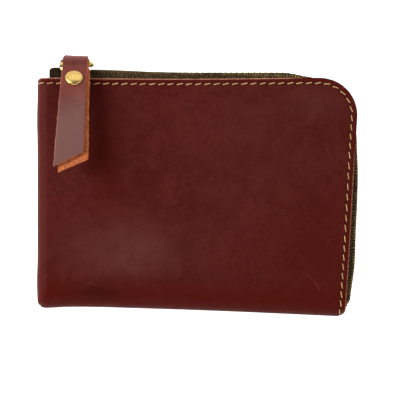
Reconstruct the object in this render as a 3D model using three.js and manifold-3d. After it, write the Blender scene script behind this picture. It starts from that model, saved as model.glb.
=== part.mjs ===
// A small leather pouch that a zip closes along its top edge, round one corner and down its right side.
// Millimetres. The pouch lies on its back: X runs along the zip's straight top run, Y points out of the
// pouch past that run, and Z points up through the front panel. The left and bottom edges are turned seams.
import * as THREE from 'three';
import Module from 'manifold-3d';
import { mergeVertices } from 'three/addons/utils/BufferGeometryUtils.js';

const wasm = await Module();
wasm.setup();

// Leather body, drawn from its top left corner: X to the right, Y negative towards the bottom seam.
const WIDTH = 127.5;
const HEIGHT = 91.2;
const RIGHT_LEAN = 4.8; // how far the right edge has come in at the bottom
const BOTTOM_DROP = 4.2; // how much lower the bottom edge would lie at its right end
const DROP_POWER = 1.6; // bends the bottom edge: level at the left, steeper towards the right
const ZIP_CORNER = 15.4; // radius of the leather's top right corner
const SMALL_CORNER = 2; // radius of the corners at its left edge
const FREE_CORNER = 3.4; // radius of the lower right corner, where the bottom seam ends
const LEFT_ROUND = 4.5; // how far in from the seam the left edge's roll reaches
const BOTTOM_ROUND = 7; // the same for the bottom edge

// Heights. The seams and the middle of the zip lie in the middle plane.
const MID_Z = 7.2;
const EDGE_RISE = 6.2; // from the middle plane to the leather's face along the zip
const FRONT_CROWN = 1.5; // the front panel's further rise at its middle
const BACK_CROWN = MID_Z - EDGE_RISE; // brings the middle of the back panel down to Z = 0
const BAND = 4.8; // flat strip along the zip that carries the stitching
const SEAM_GAP = 0.4; // between the two panels where they meet

// Sheet materials.
const LEATHER = 1.4;
const LINING = 0.5;
const LINING_CORNER = 26; // radius of the linings' top right corner
const TAPE = 0.5;
const GAP = 0.3; // clearance between pieces that lie against each other

// Zip.
const CHAIN_START_X = 4.6; // where the tapes begin, left of the slider
const CHAIN_Y = 2; // middle of the teeth, outside the leather's top edge
const CHAIN_HALF_WIDTH = 2.5;
const CHAIN_HALF_THICK = 1.1;
const TOOTH_PITCH = 2.28;
const RUN_END_X = 98; // where the straight top run meets the corner
const CORNER_RADIUS = 28.8; // of the zip's corner
const SIDE_BEND = [127, -55.4]; // pulls the side run into its slight curve
const CHAIN_END = [123.5, -88.9];
const TAPE_REACH = 7.5; // how far in under the leather the tapes go
const TEETH_END = 5.2; // from the last tooth to the tapes' end
const BOTTOM_STOP_LENGTH = 2.8;

// Slider, pull ring and strap.
const SLIDER_START_X = 8.3;
const SLIDER_LENGTH = 10;
const SLIDER_HALF_WIDTH = 3.4;
const SLIDER_LOW_Y = -0.05;
const SLIDER_HIGH_Y = 4.05;
const SLIDER_WALL = 0.7; // thickness of its top and bottom plates
const CROWN_WIDTH = 2.2; // of the arch, across the slider
const WIRE = 1; // radius of the pull ring's wire
const RING_LEFT_X = 10.5; // wire centres of the pull ring's four sides
const RING_RIGHT_X = 21.45;
const RING_BACK_Z = 2.5;
const RING_FRONT_Z = 14;
const RING_Y = 5.4;
const STRAP = 1.5; // thickness of the strap's leather
const LOOP = 2.2; // inner radius of its fold round the ring
const PLY_GAP = 0.3; // between its two plies below the rivet
const RIVET_REACH = 6.75; // from the ring's wire to the rivet, along Y
const RIVET_X = 14.8;
const FOLD_LEFT_X = 11.6; // the strap is narrow where it folds, so that it clears the ring's side
const FOLD_RIGHT_X = 20;
const PLY_LEFT_X = 10.3; // left edge of the front ply where it leaves the fold

const pouch = new THREE.Group();
const part = new THREE.Group();
part.add(pouch);

const finish = {
  leather: new THREE.MeshStandardMaterial({ color: 0x54221e, roughness: 0.5, metalness: 0 }),
  strap: new THREE.MeshStandardMaterial({ color: 0x784844, roughness: 0.5, metalness: 0 }),
  lining: new THREE.MeshStandardMaterial({ color: 0x5b4636, roughness: 0.9, metalness: 0 }),
  tape: new THREE.MeshStandardMaterial({ color: 0x4a3f2a, roughness: 0.9, metalness: 0 }),
  brass: new THREE.MeshStandardMaterial({ color: 0xd8b355, roughness: 0.3, metalness: 1 }),
  thread: new THREE.MeshStandardMaterial({ color: 0xcda064, roughness: 0.8, metalness: 0 }),
};

function addPiece(name, geometry, material) {
  const mesh = new THREE.Mesh(geometry, material.clone());
  mesh.name = name;
  pouch.add(mesh);
}

function clamp01(t) {
  return Math.min(1, Math.max(0, t));
}

function smooth(t) {
  const s = clamp01(t);
  return s * s * (3 - 2 * s);
}

// A box whose grid of (u, v) cells follows the given stations and whose corners go where place() says.
// Its top layer is w = 1, and place() has to keep u, v, w right-handed.
function sheet(uStations, vStations, place) {
  const box = new THREE.BoxGeometry(1, 1, 1, uStations.length - 1, vStations.length - 1, 1);
  const at = box.attributes.position;
  for (let i = 0; i < at.count; i += 1) {
    const u = uStations[Math.round((at.getX(i) + 0.5) * (uStations.length - 1))];
    const v = vStations[Math.round((at.getY(i) + 0.5) * (vStations.length - 1))];
    const point = place(u, v, at.getZ(i) > 0 ? 1 : 0);
    at.setXYZ(i, point.x, point.y, point.z);
  }
  box.deleteAttribute('normal');
  box.deleteAttribute('uv');
  return mergeVertices(box, 1e-4);
}

function toSolid(geometry) {
  const plain = geometry.clone();
  plain.deleteAttribute('normal');
  plain.deleteAttribute('uv');
  const merged = mergeVertices(plain, 1e-4);
  const vertProperties = new Float32Array(merged.attributes.position.array);
  const triVerts = new Uint32Array(merged.index.array);
  return new wasm.Manifold(new wasm.Mesh({ numProp: 3, vertProperties, triVerts }));
}

function toGeometry(solid) {
  const mesh = solid.getMesh();
  const geometry = new THREE.BufferGeometry();
  geometry.setAttribute('position', new THREE.BufferAttribute(mesh.vertProperties, 3));
  geometry.setIndex(new THREE.BufferAttribute(mesh.triVerts, 1));
  return geometry;
}

// ---- The pouch's outline and surface ----

// Pulls a square corner of the flat pattern in to a round one; dx and dy run from the round's centre.
function roundOff(p, q, centreP, centreQ, signP, signQ) {
  const dx = (p - centreP) * signP;
  const dy = (q - centreQ) * signQ;
  if (dx <= 0 || dy <= 0) {
    return [p, q];
  }
  const pull = Math.max(dx, dy) / Math.hypot(dx, dy);
  return [centreP + signP * dx * pull, centreQ + signQ * dy * pull];
}

// The pattern's right edge leans in and its bottom edge drops a little towards the right.
function skew(p, q) {
  const lean = RIGHT_LEAN * clamp01((q - ZIP_CORNER) / (HEIGHT - ZIP_CORNER));
  const drop = BOTTOM_DROP * clamp01(p / WIDTH) ** DROP_POWER;
  const x = p - lean * clamp01((p - 30) / (WIDTH - 60));
  const y = -q - drop * clamp01((q - 30) / (HEIGHT - 60));
  return [x, y];
}

// A point on the flat pattern, p from the left seam and q down from the top edge.
function onPattern(p, q, zipCorner) {
  const right = zipCorner.right;
  const top = zipCorner.top;
  const r = zipCorner.radius;
  const s = SMALL_CORNER;
  let at = roundOff(p, q, right - r, top + r, 1, -1);
  at = roundOff(at[0], at[1], s, HEIGHT - s, -1, 1);
  at = roundOff(at[0], at[1], s, s, -1, -1);
  at = roundOff(at[0], at[1], right - FREE_CORNER, HEIGHT - FREE_CORNER, 1, 1);
  return skew(at[0], at[1]);
}

function rollProfile(distance, reach) {
  if (distance >= reach) {
    return 1;
  }
  return Math.sqrt(1 - (1 - distance / reach) ** 2);
}

// The leather's face above the middle plane. It crowns once it is a strip's width away from the zip.
function faceRise(p, q, side, strip) {
  const fromZip = Math.min(WIDTH - p, q);
  if (side < 0) {
    return EDGE_RISE + BACK_CROWN * clamp01((fromZip - strip) / 8);
  }
  const crown = smooth((fromZip - strip) / 24) * smooth(p / 30) * smooth((HEIGHT - q) / 30);
  return EDGE_RISE + FRONT_CROWN * crown;
}

// A point at a depth below the front panel's face (side 1) or the back panel's (side -1).
function onShell(p, q, depth, side, zipCorner, strip = BAND) {
  const inP = p < LEFT_ROUND ? depth + (p * (LEFT_ROUND - depth)) / LEFT_ROUND : p;
  const fromBottom = HEIGHT - q;
  const reach = BOTTOM_ROUND;
  const inQ = fromBottom < reach ? HEIGHT - depth - (fromBottom * (reach - depth)) / reach : q;
  const [x, y] = onPattern(inP, inQ, zipCorner);
  const roll = rollProfile(p, LEFT_ROUND) * rollProfile(fromBottom, BOTTOM_ROUND);
  const height = faceRise(p, q, side, strip) - depth;
  const z = MID_Z + side * (SEAM_GAP / 2 + (height - SEAM_GAP / 2) * roll);
  return new THREE.Vector3(x, y, z);
}

const leatherCorner = { right: WIDTH, top: 0, radius: ZIP_CORNER };
const liningCorner = { right: WIDTH - 3, top: 1.2, radius: LINING_CORNER };

// Distances from a rolled edge where its quarter turn is sampled.
function rollStations(reach) {
  return [0, 30, 60, 90].map((degrees) => reach * (1 - Math.cos(THREE.MathUtils.degToRad(degrees))));
}

function shellSheet(side, outerDepth, innerDepth, corner, strip, inward, middleP, middleQ) {
  const fromSeam = [...rollStations(LEFT_ROUND), ...middleP];
  const p = [...fromSeam, ...inward.map((d) => corner.right - d)];
  const q = [
    ...rollStations(BOTTOM_ROUND).map((d) => HEIGHT - d),
    ...middleQ,
    ...inward.map((d) => corner.top + d),
  ];
  return sheet(p, q, (u, v, top) => {
    const outer = side > 0 ? top === 1 : top === 0;
    return onShell(u, v, outer ? outerDepth : innerDepth, side, corner, strip);
  });
}

function addPanels() {
  const inward = [22, 14.6, 11, 8, 4.8, 2.4, 0];
  const back = shellSheet(-1, 0, LEATHER, leatherCorner, BAND, inward, [30, 60, 85], [68, 50, 35]);
  const front = shellSheet(1, 0, LEATHER, leatherCorner, BAND, inward, [18, 40, 65, 88], [74, 58, 44, 32]);
  addPiece('back_panel', back, finish.leather);
  addPiece('front_panel', front, finish.leather);
}

function addLinings() {
  const outer = LEATHER + TAPE + 2 * GAP + 0.05;
  const inward = [26, 20, 14, 9, 5, 0];
  const middleP = [35, 70];
  const middleQ = [65, 45];
  for (const [name, side] of [['back_lining', -1], ['front_lining', 1]]) {
    const sheetOf = shellSheet(side, outer, outer + LINING, liningCorner, 16, inward, middleP, middleQ);
    addPiece(name, sheetOf, finish.lining);
  }
}

// ---- The zip ----

// Middle line of the teeth: straight along the top, round the corner and down the right side.
function chainLine() {
  const line = new THREE.CurvePath();
  const start = new THREE.Vector2(CHAIN_START_X, CHAIN_Y);
  const corner = new THREE.Vector2(RUN_END_X, CHAIN_Y);
  const centreY = CHAIN_Y - CORNER_RADIUS;
  const side = new THREE.Vector2(RUN_END_X + CORNER_RADIUS, centreY);
  line.add(new THREE.LineCurve(start, corner));
  line.add(new THREE.EllipseCurve(RUN_END_X, centreY, CORNER_RADIUS, CORNER_RADIUS, Math.PI / 2, 0, true));
  const bend = new THREE.Vector2(...SIDE_BEND);
  line.add(new THREE.QuadraticBezierCurve(side, bend, new THREE.Vector2(...CHAIN_END)));
  return line;
}

const chain = chainLine();
const chainLength = chain.getLength();

// A point at a distance along the teeth's middle line, pushed out of the pouch by the given amount.
function alongChain(distance, outward, z) {
  const t = clamp01(distance / chainLength);
  const at = chain.getPointAt(t);
  const tangent = chain.getTangentAt(t);
  return new THREE.Vector3(at.x - tangent.y * outward, at.y + tangent.x * outward, z);
}

function spread(from, to, count) {
  return Array.from({ length: count + 1 }, (_, i) => from + ((to - from) * i) / count);
}

const straightLength = RUN_END_X - CHAIN_START_X;
const cornerLength = (CORNER_RADIUS * Math.PI) / 2;

// One woven tape, from beside the teeth over the edge of the lining and in under the leather.
function addTape(name, side) {
  const seamRise = EDGE_RISE - LEATHER - GAP - TAPE / 2;
  const profile = [
    { out: 0, rise: CHAIN_HALF_WIDTH + GAP, normalOut: 1, normalRise: 0 },
    { out: 0, rise: seamRise - 1.1, normalOut: 1, normalRise: 0 },
    { out: -0.32, rise: seamRise - 0.32, normalOut: 0.71, normalRise: 0.71 },
    { out: -1.1, rise: seamRise, normalOut: 0, normalRise: 1 },
    { out: -TAPE_REACH, rise: seamRise, normalOut: 0, normalRise: 1 },
  ];
  const arcEnd = straightLength + cornerLength;
  const stations = [
    ...spread(0, straightLength, 3),
    ...spread(straightLength, arcEnd, 10).slice(1),
    ...spread(arcEnd, chainLength, 5).slice(1),
  ];
  const rows = side > 0 ? [...profile.keys()] : [...profile.keys()].reverse();
  const geometry = sheet(stations, rows, (distance, row, top) => {
    const { out, rise, normalOut, normalRise } = profile[row];
    const half = ((top === 1 ? -1 : 1) * TAPE) / 2;
    return alongChain(distance, out + normalOut * half, MID_Z + side * (rise + normalRise * half));
  });
  addPiece(name, geometry, finish.tape);
}

// One row of teeth on its cord. The teeth reach past the middle between those of the other row.
function addTeeth(name, side) {
  const reach = 0.7;
  const clear = 0.24;
  const sliderStart = SLIDER_START_X - CHAIN_START_X;
  const wedgeEnd = sliderStart + 3.5;
  const first = sliderStart + 0.2;
  const count = Math.floor((chainLength - TEETH_END - first) / (TOOTH_PITCH / 2));
  const stations = Array.from({ length: count + 1 }, (_, i) => first + (i * TOOTH_PITCH) / 2);
  const rows = side > 0 ? [0, 1] : [1, 0];
  const geometry = sheet(stations, rows, (distance, row, top) => {
    const step = Math.round((distance - first) / (TOOTH_PITCH / 2));
    const wave = (step % 2 === 0 ? 1 : -1) * side;
    const parted = distance < wedgeEnd;
    const inner = parted ? 1.3 : clear + reach * wave;
    const rise = row === 0 ? inner : CHAIN_HALF_WIDTH;
    const outward = (top === 1 ? -1 : 1) * CHAIN_HALF_THICK;
    return alongChain(distance, outward, MID_Z + side * rise);
  });
  addPiece(name, geometry, finish.brass);
}

function addStops() {
  for (const [name, side] of [['top_stop_front', 1], ['top_stop_back', -1]]) {
    const stop = new THREE.BoxGeometry(1.6, 2 * CHAIN_HALF_THICK, 1.5);
    stop.translate(SLIDER_START_X - 1.2, CHAIN_Y, MID_Z + side * 1.7);
    addPiece(name, stop, finish.brass);
  }
  const stopStart = chainLength - TEETH_END + 0.6;
  const distances = [stopStart, stopStart + BOTTOM_STOP_LENGTH];
  const bottomStop = sheet(distances, [-1, 1], (distance, row, top) => {
    const outward = (top === 1 ? -1 : 1) * (CHAIN_HALF_THICK + 0.1);
    return alongChain(distance, outward, MID_Z + row * (CHAIN_HALF_WIDTH - 0.1));
  });
  addPiece('bottom_stop', bottomStop, finish.brass);
}

// ---- Slider ----

// Extrudes an outline in X and Z between two heights along Y.
function plate(outline, lowY, highY) {
  const shape = new THREE.Shape(outline.map(([x, z]) => new THREE.Vector2(x, -z)));
  const geometry = new THREE.ExtrudeGeometry(shape, { depth: highY - lowY, bevelEnabled: false });
  geometry.rotateX(-Math.PI / 2);
  geometry.translate(SLIDER_START_X, lowY, MID_Z);
  return toSolid(geometry);
}

// An outline that is the same on both sides of the slider's middle line.
function mirrored(points) {
  const other = points.map(([x, z]) => [x, -z]).reverse();
  return [...points, ...other];
}

// Extrudes an outline in X and Y across the slider's middle plane.
function upright(shape, width) {
  const geometry = new THREE.ExtrudeGeometry(shape, { depth: width, bevelEnabled: false, curveSegments: 5 });
  geometry.translate(SLIDER_START_X, SLIDER_HIGH_Y, MID_Z - width / 2);
  return toSolid(geometry);
}

// The arch on the slider that holds the pull ring.
function crownArch() {
  const height = 3.9;
  const arch = new THREE.Shape();
  arch.moveTo(0.15, -0.3);
  arch.lineTo(0.3, 1.6);
  arch.bezierCurveTo(0.5, 3.1, 1.3, height, 2.6, height);
  arch.lineTo(5.2, height);
  arch.bezierCurveTo(7.2, height, 8.4, 2, 8.6, -0.3);
  const hole = new THREE.Shape();
  hole.moveTo(1.05, 0.05);
  hole.lineTo(1.1, 1.5);
  hole.bezierCurveTo(1.3, 2.4, 1.7, 2.85, 2.6, 2.85);
  hole.lineTo(5, 2.85);
  hole.bezierCurveTo(6.2, 2.8, 7.1, 1.8, 7.3, 0.05);
  return upright(arch, CROWN_WIDTH).subtract(upright(hole, 2 * CROWN_WIDTH));
}

function addSlider() {
  const half = SLIDER_HALF_WIDTH;
  const end = SLIDER_LENGTH;
  const nose = [[0, 1.6], [0.5, 2.9], [1.6, half], [4, half]];
  const tail = [[7, 3.25], [end - 0.5, 3.2], [end, 2.6]];
  const body = mirrored([...nose, ...tail]);
  const passage = mirrored([[-1, 2.85], [end + 1, 2.85]]);
  const slot = mirrored([[-1, 6], [end + 1, 6]]);
  const wedge = mirrored([[0.2, 0.35], [1.6, 0.75], [3.2, 0.15]]);
  const shell = plate(body, SLIDER_LOW_Y, SLIDER_HIGH_Y);
  const low = SLIDER_LOW_Y + SLIDER_WALL;
  const high = SLIDER_HIGH_Y - SLIDER_WALL;
  const tapeSlot = plate(slot, CHAIN_Y - SLIDER_WALL, CHAIN_Y + SLIDER_WALL);
  const hollow = shell.subtract(plate(passage, low, high)).subtract(tapeSlot);
  const slider = hollow.add(plate(wedge, SLIDER_LOW_Y + 0.35, SLIDER_HIGH_Y - 0.35)).add(crownArch());
  addPiece('slider_body', toGeometry(slider), finish.brass);
}

// ---- Pull ring ----

function addRing() {
  const corner = 2.4;
  const line = new THREE.CurvePath();
  const turn = (x, z, from) => new THREE.EllipseCurve(x, z, corner, corner, from, from + Math.PI / 2);
  const low = RING_BACK_Z + corner;
  const high = RING_FRONT_Z - corner;
  const left = RING_LEFT_X + corner;
  const right = RING_RIGHT_X - corner;
  const bar = (x0, z0, x1, z1) => new THREE.LineCurve(new THREE.Vector2(x0, z0), new THREE.Vector2(x1, z1));
  line.add(bar(left, RING_BACK_Z, right, RING_BACK_Z));
  line.add(turn(right, low, -Math.PI / 2));
  line.add(bar(RING_RIGHT_X, low, RING_RIGHT_X, high));
  line.add(turn(right, high, 0));
  line.add(bar(right, RING_FRONT_Z, left, RING_FRONT_Z));
  line.add(turn(left, high, Math.PI / 2));
  line.add(bar(RING_LEFT_X, high, RING_LEFT_X, low));
  line.add(turn(left, low, Math.PI));
  addPiece('pull_ring', closedWire(line, WIRE), finish.brass);
}

// A closed wire of round section along a closed plane curve in X and Z, at the ring's height.
function closedWire(line, radius) {
  const sides = 8;
  const points = [];
  for (const curve of line.curves) {
    const steps = curve.isEllipseCurve ? 4 : 1;
    for (let i = 0; i < steps; i += 1) {
      points.push({ at: curve.getPointAt(i / steps), tangent: curve.getTangentAt(i / steps) });
    }
  }
  const corners = [];
  for (const { at, tangent } of points) {
    for (let j = 0; j < sides; j += 1) {
      const angle = (2 * Math.PI * (j + 0.5)) / sides;
      const outward = radius * Math.cos(angle);
      const x = at.x + tangent.y * outward;
      const z = at.y - tangent.x * outward;
      corners.push(x, RING_Y + radius * Math.sin(angle), z);
    }
  }
  const faces = [];
  for (let i = 0; i < points.length; i += 1) {
    const next = (i + 1) % points.length;
    for (let j = 0; j < sides; j += 1) {
      const a = i * sides + j;
      const b = i * sides + ((j + 1) % sides);
      const c = next * sides + ((j + 1) % sides);
      const d = next * sides + j;
      faces.push(a, b, c, a, c, d);
    }
  }
  const geometry = new THREE.BufferGeometry();
  geometry.setAttribute('position', new THREE.Float32BufferAttribute(corners, 3));
  geometry.setIndex(faces);
  return geometry;
}

// ---- Strap ----

const STEEP = 0.69; // slope of the strap as it climbs over the leather's edge
const SHALLOW = 0.09; // slope it settles to towards its tip
const CLIMB = 8.2; // how far the steep part reaches from the ring
const PINCH = 1.9; // where the rivet has pressed the two plies together, from the ring
const SETTLE = 5; // how quickly the slope eases off after that

// The strap's middle surface: its rise and slope at a distance from the ring along Y.
function strapRise(distance) {
  const eased = Math.max(0, distance - CLIMB);
  const curve = (STEEP - SHALLOW) * SETTLE * (1 - Math.exp(-eased / SETTLE));
  return STEEP * Math.min(distance, CLIMB) + SHALLOW * eased + curve;
}

function strapSlope(distance) {
  const eased = Math.max(0, distance - CLIMB);
  return SHALLOW + (STEEP - SHALLOW) * Math.exp(-eased / SETTLE);
}

// A point in the strap's section, at a height above (or below) its middle surface.
function onStrap(distance, height) {
  const angle = Math.atan(strapSlope(distance));
  const y = RING_Y - distance + height * Math.sin(angle);
  const z = RING_FRONT_Z + strapRise(distance) + height * Math.cos(angle);
  return [y, z];
}

// Half the distance between the middles of the two plies.
function plyHeight(distance) {
  const open = LOOP + STRAP / 2;
  const shut = (PLY_GAP + STRAP) / 2;
  return shut + (open - shut) * (1 - smooth(distance / PINCH));
}

// Left and right edges of each ply at a distance from the ring.
function plyEdges(front, distance) {
  if (front) {
    return [PLY_LEFT_X - 0.0825 * distance, FOLD_RIGHT_X - 0.047 * distance];
  }
  const flare = smooth(distance / 3);
  const left = FOLD_LEFT_X - 0.8 * flare - 0.045 * distance;
  return [left, FOLD_RIGHT_X + flare - 0.01 * distance];
}

function addStrap() {
  // Stations run from the front ply's tip, over the fold at 0, to the back ply's tip.
  const fractions = [1, 0.85, 0.7, 0.55, 0.42, 0.33, 0.26, 0.2, 0.165, 0.1, 0.055, 0.035, 0.018];
  const turns = [90, 58, 30, 0, -30, -60, -90];
  const stations = [
    ...fractions.map((f) => ({ kind: 'front', f })),
    ...turns.map((degrees) => ({ kind: 'fold', degrees })),
    ...fractions.map((f) => ({ kind: 'back', f })).reverse(),
  ];
  const lengths = { front: [41, 35.2], back: [43.2, 38] };
  const keys = [...stations.keys()];
  const geometry = sheet([0, 0.5, 1], keys, (across, key, top) => {
    const station = stations[key];
    const half = ((top === 1 ? 1 : -1) * STRAP) / 2;
    if (station.kind === 'fold') {
      const turn = THREE.MathUtils.degToRad(station.degrees);
      const radius = LOOP + STRAP / 2 + half;
      const left = station.degrees === 90 ? PLY_LEFT_X : FOLD_LEFT_X;
      const x = left + (FOLD_RIGHT_X - left) * across;
      return onFold(x, radius, turn);
    }
    const front = station.kind === 'front';
    const [longLeft, longRight] = lengths[station.kind];
    const distance = station.f * (longLeft + (longRight - longLeft) * across);
    const [left, right] = plyEdges(front, distance);
    const height = plyHeight(distance) + half;
    const [y, z] = onStrap(distance, front ? height : -height);
    return new THREE.Vector3(left + (right - left) * across, y, z);
  });
  const holeRadius = 1.35;
  const hole = new THREE.CylinderGeometry(holeRadius, holeRadius, 8, 16);
  const drilled = toSolid(geometry).subtract(toSolid(onRivetAxis(hole, 0)));
  addPiece('pull_strap', toGeometry(drilled), finish.strap);
}

// A point of the fold: the turn is measured from the strap's own direction at the ring.
function onFold(x, radius, turn) {
  const lean = Math.atan(STEEP);
  const away = radius * Math.cos(turn);
  const up = radius * Math.sin(turn);
  const y = RING_Y + away * Math.cos(lean) + up * Math.sin(lean);
  const z = RING_FRONT_Z - away * Math.sin(lean) + up * Math.cos(lean);
  return new THREE.Vector3(x, y, z);
}

// Stands a piece made along Y on the strap's middle surface at the rivet.
function onRivetAxis(geometry, height) {
  const [y, z] = onStrap(RIVET_REACH, height);
  geometry.rotateX(Math.PI / 2 - Math.atan(STEEP));
  geometry.translate(RIVET_X, y, z);
  return geometry;
}

function lathe(profile, segments = 16) {
  return new THREE.LatheGeometry(profile.map(([r, h]) => new THREE.Vector2(r, h)), segments);
}

function addRivet() {
  const face = STRAP + PLY_GAP / 2;
  const cap = lathe([[0, 0.12], [3.3, 0.12], [3.5, 0.4], [3.25, 0.8], [2.3, 1.15], [1.1, 1.32], [0, 1.38]]);
  addPiece('rivet_cap', onRivetAxis(cap, face), finish.brass);
  const shank = 2 * face - 0.1;
  const post = lathe([[0, -0.8], [2.4, -0.8], [2.7, -0.5], [2.7, -0.2], [1, -0.2], [1, shank], [0, shank]]);
  addPiece('rivet_post', onRivetAxis(post, -face), finish.brass);
}

// ---- Thread ----

// Slanted stitches in one thread along the zip, lying on a panel's flat strip between its rolled edges.
function addZipStitching(name, side) {
  const inset = 2.3;
  const pitch = 3.66;
  const slant = 0.35;
  const stitchShare = 0.76;
  const thick = 0.45;
  const radius = ZIP_CORNER - inset;
  const start = LEFT_ROUND + 0.1;
  const topRun = WIDTH - ZIP_CORNER - start;
  const arc = (radius * Math.PI) / 2;
  const sideRun = HEIGHT - ZIP_CORNER - BOTTOM_ROUND - 0.1;
  const count = Math.floor((topRun + arc + sideRun) / pitch);
  // The thread's place on the flat pattern, at a distance along it and an offset towards the zip.
  const place = (distance, offset) => {
    if (distance < topRun) {
      return [start + distance, inset - offset, 0];
    }
    const turn = (distance - topRun) / radius;
    if (turn < Math.PI / 2) {
      const reach = radius + offset;
      const x = WIDTH - ZIP_CORNER + reach * Math.sin(turn);
      return [x, ZIP_CORNER - reach * Math.cos(turn), 1];
    }
    return [WIDTH - inset + offset, ZIP_CORNER + distance - topRun - arc, 0];
  };
  const ends = Array.from({ length: 2 * count }, (_, i) => i);
  const geometry = sheet(ends, [-0.3, 0.3], (end, row, top) => {
    const distance = (Math.floor(end / 2) + (end % 2) * stitchShare) * pitch;
    const lean = end % 2 === 0 ? -slant : slant;
    const [p, q, onArc] = place(distance, lean + row);
    const outer = side > 0 ? top === 1 : top === 0;
    const depth = outer ? -0.06 - thick : -0.06;
    if (onArc) {
      const [x, y] = skew(p, q);
      return new THREE.Vector3(x, y, MID_Z + side * (EDGE_RISE - depth));
    }
    return onShell(p, q, depth, side, leatherCorner);
  });
  addPiece(name, geometry, finish.thread);
}

// The hidden thread that closes the turned left and bottom seams from inside.
function addSeamThread() {
  const inset = LEATHER + 0.35;
  const wide = 0.3;
  const downLeft = [[0, 4], [0, 30], [0, 60], [0, HEIGHT - 6]];
  const alongBottom = [[1, 8], [1, 35], [1, 65], [1, 95], [1, WIDTH - 10]];
  const line = [...downLeft, ...alongBottom];
  const geometry = sheet([...line.keys()], [0, 1], (step, row, top) => {
    const [along, distance] = line[step];
    const near = inset + (row === 1 ? 0 : wide);
    const [p, q] = along === 0 ? [near, distance] : [distance, HEIGHT - near];
    const [x, y] = skew(p, q);
    return new THREE.Vector3(x, y, MID_Z + (top === 1 ? -1 : 1) * (wide / 2));
  });
  addPiece('seam_thread', geometry, finish.thread);
}

// ---- Slip pocket inside, on the back lining ----

function addPocket() {
  const left = 12;
  const right = 112;
  const top = -26;
  const bottom = -84;
  const rest = 4.4;
  const panel = new THREE.BoxGeometry(right - left, top - bottom, LINING);
  panel.translate((left + right) / 2, (top + bottom) / 2, rest + LINING / 2);
  addPiece('slip_pocket', panel, finish.lining);
  const inset = 2;
  const wide = 0.4;
  const outline = (d) => {
    const [low, high] = [bottom + d, top - 1];
    return [[left + d, high], [left + d, low], [right - d, low], [right - d, high]];
  };
  const outer = outline(inset);
  const inner = outline(inset + wide).reverse();
  const shape = new THREE.Shape([...outer, ...inner].map(([x, y]) => new THREE.Vector2(x, y)));
  const thread = new THREE.ExtrudeGeometry(shape, { depth: 0.3, bevelEnabled: false });
  thread.translate(0, 0, rest + LINING + 0.1);
  addPiece('pocket_stitching', thread, finish.thread);
}

addPanels();
addLinings();
addTape('zip_tape_front', 1);
addTape('zip_tape_back', -1);
addTeeth('zip_teeth_front', 1);
addTeeth('zip_teeth_back', -1);
addStops();
addSlider();
addRing();
addStrap();
addRivet();
addZipStitching('front_stitching', 1);
addZipStitching('back_stitching', -1);
addSeamThread();
addPocket();

// The origin is the middle of the box's base.
const bounds = new THREE.Box3().setFromObject(pouch);
pouch.position.set(-(bounds.min.x + bounds.max.x) / 2, -(bounds.min.y + bounds.max.y) / 2, -bounds.min.z);

export default part;
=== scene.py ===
"""The looks of a small leather zip pouch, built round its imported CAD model.

Shapes are worked out in millimetres in the pouch's own frame: X runs right from the leather's left
seam, Y up from its top edge and Z up from the floor. to_row() takes them to the row frame in metres.
"""

import math

import bmesh
import bpy
import numpy as np
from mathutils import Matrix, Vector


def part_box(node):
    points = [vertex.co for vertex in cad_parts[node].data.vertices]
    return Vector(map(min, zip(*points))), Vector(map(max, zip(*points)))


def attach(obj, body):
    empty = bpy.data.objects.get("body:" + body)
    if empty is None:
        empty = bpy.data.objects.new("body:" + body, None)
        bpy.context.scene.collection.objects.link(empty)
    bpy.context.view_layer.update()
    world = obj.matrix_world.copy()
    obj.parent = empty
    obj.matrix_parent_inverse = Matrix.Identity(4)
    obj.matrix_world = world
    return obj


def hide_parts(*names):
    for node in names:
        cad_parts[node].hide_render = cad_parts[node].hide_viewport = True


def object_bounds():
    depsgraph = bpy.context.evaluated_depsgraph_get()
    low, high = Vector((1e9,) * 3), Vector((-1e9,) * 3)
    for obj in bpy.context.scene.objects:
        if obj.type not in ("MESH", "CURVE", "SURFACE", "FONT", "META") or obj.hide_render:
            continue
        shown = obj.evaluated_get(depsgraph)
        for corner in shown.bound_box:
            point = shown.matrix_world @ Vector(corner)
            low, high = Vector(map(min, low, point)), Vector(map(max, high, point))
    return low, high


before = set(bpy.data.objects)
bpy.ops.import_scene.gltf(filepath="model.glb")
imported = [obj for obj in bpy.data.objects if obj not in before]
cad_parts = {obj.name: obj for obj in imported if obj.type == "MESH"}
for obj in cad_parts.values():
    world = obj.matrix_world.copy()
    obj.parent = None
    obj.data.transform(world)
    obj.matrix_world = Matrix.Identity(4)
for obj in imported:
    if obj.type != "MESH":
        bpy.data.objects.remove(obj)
cad_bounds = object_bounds()

MM = 0.001
panel_low, panel_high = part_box("front_panel")
ORIGIN = np.array([panel_low.x, panel_high.y, 0.0])


def cad_box(node):
    """The low and high corners of a CAD piece, in millimetres in the pouch's frame."""
    return [(np.array(corner) - ORIGIN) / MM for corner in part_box(node)]


seam_low, seam_high = cad_box("seam_thread")
ring_low, ring_high = cad_box("pull_ring")
rivet_low, rivet_high = cad_box("rivet_cap")

# Leather body.
BOTTOM_DROP = 4.0  # how much lower the bottom edge would lie at its right end
DROP_POWER = 1.6
RIGHT_LEAN = 4.8  # how far the right edge has come in at the bottom
WIDTH = (panel_high.x - panel_low.x) / MM
HEIGHT = 91.2  # down the left seam
BOTTOM_SAG = 0.28  # the leather's fold bulges past the seam
ZIP_CORNER = 15.0
SMALL_CORNER = 2.2
FREE_CORNER = 3.4  # where the seam ends at the lower right
LEFT_ROUND = 4.5
BOTTOM_ROUND = 7.0
MID_Z = (seam_low[2] + seam_high[2]) / 2
EDGE_RISE = 6.2
FRONT_CROWN = 1.5
BACK_CROWN = MID_Z - EDGE_RISE
BAND = 4.8
SEAM_GAP = 0.06
LEATHER = 1.4
LINING = 0.5
TAPE = 0.5
RAW_EDGE = 0.45  # width of the cut edge that shows past the grain side
TOP_SAG = 0.42  # how far the middle of the top edge has sunk
STITCH_INSET = 2.15
STITCH_PITCH = 3.672
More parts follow.
